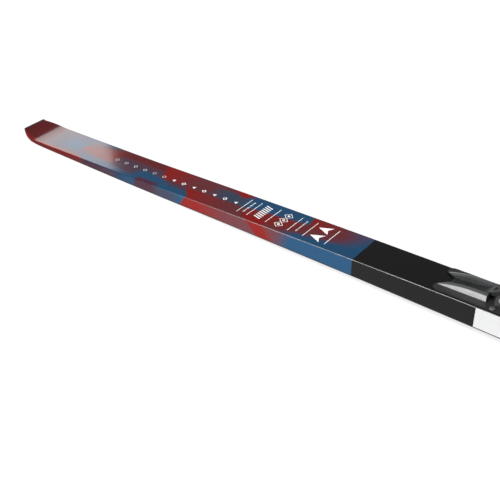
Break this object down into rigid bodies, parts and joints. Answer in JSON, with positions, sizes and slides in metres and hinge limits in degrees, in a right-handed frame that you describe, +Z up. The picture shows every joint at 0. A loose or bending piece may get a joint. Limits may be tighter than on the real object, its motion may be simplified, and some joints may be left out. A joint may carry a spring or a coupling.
{
  "type": "cross country ski",
  "caption": "Long narrow touring ski with a low upturned blunt tip, cambered body, red and blue gloss topsheet, toe binding with lever and flexor, and heel plate.",
  "frame": {"origin": "under the middle of the ski, at the lowest point of the base", "axes": "+X along the ski towards the tip, +Y towards the skier's left, +Z up"},
  "size_m": [1.85, 0.064, 0.06],
  "materials": {
    "base_black": "ground sintered polyethylene",
    "laminate": "glass fibre laminate",
    "spacer": "moulded plastic",
    "guard_black": "moulded plastic",
    "foam": "closed-cell foam",
    "core_wood": "poplar",
    "printed_topsheet": "glossy printed film, red and blue",
    "black_topsheet": "glossy black film",
    "printed_topsheet_tail": "glossy printed film, blue and red",
    "sidewall_white": "light sidewall",
    "binding_grey": "moulded glass-filled plastic",
    "trim_light": "light grey inlay",
    "lever_black": "moulded plastic",
    "steel": "hardened steel",
    "flexor_rubber": "soft rubber",
    "cover_black": "moulded plastic",
    "screw_steel": "zinc-plated steel",
    "pad_rubber": "ribbed rubber"
  },
  "bodies": {
    "ski": {"base_sheet": "base_black", "grip_insert": "base_black", "lower_laminate": "laminate", "upper_laminate": "laminate", "tip_spacer": "spacer", "tail_spacer": "spacer", "tip_guard": "guard_black", "tail_guard": "guard_black", "foam_core": "foam", "wood_stringer": "core_wood", "screw_insert": "laminate", "topsheet_front": "printed_topsheet", "topsheet_centre": "black_topsheet", "topsheet_tail": "printed_topsheet_tail", "sidewall_left": "sidewall_white", "sidewall_right": "sidewall_white", "mounting_plate": "binding_grey", "plate_screws": "screw_steel", "front_fairing": "binding_grey", "side_trim_left": "trim_light", "side_trim_right": "trim_light", "heel_track": "binding_grey", "track_screws": "screw_steel"},
    "toe_unit": {"toe_housing": "binding_grey", "lever_pin": "steel", "lever_spring": "steel", "fixed_jaw": "steel", "flexor": "flexor_rubber", "guide_cover": "cover_black"},
    "lever": {"latch_lever": "lever_black"},
    "hook": {"toe_hook": "steel"},
    "adjuster": {"adjuster_screw": "screw_steel"},
    "heel_unit": {"heel_plate": "cover_black", "heel_pad_left": "pad_rubber", "heel_pad_right": "pad_rubber"}
  },
  "joints": [
    {"name": "toe_slide", "type": "slide", "parent": "ski", "child": "toe_unit", "axis": [1, 0, 0], "range_m": [-0.01, 0.01]},
    {"name": "lever_hinge", "type": "hinge", "parent": "toe_unit", "child": "lever", "pos_m": [0.064, 0, 0.052], "axis": [0, -1, 0], "range_deg": [0, 75.01]},
    {"name": "hook_slide", "type": "slide", "parent": "toe_unit", "child": "hook", "axis": [1, 0, 0], "range_m": [0, 0.005]},
    {"name": "adjuster_turn", "type": "hinge", "parent": "toe_unit", "child": "adjuster", "pos_m": [-0.172, 0, 0.0432], "axis": [1, 0, 0], "range_deg": [-1800.1, 1800.1]},
    {"name": "heel_slide", "type": "slide", "parent": "ski", "child": "heel_unit", "axis": [1, 0, 0], "range_m": [-0.012, 0.012]}
  ],
  "couplings": [
    {"joint": "lever_hinge", "follows": "hook_slide", "rad_per_m": 261.8},
    {"joint": "adjuster_turn", "follows": "toe_slide", "rad_per_m": 3141.6}
  ]
}
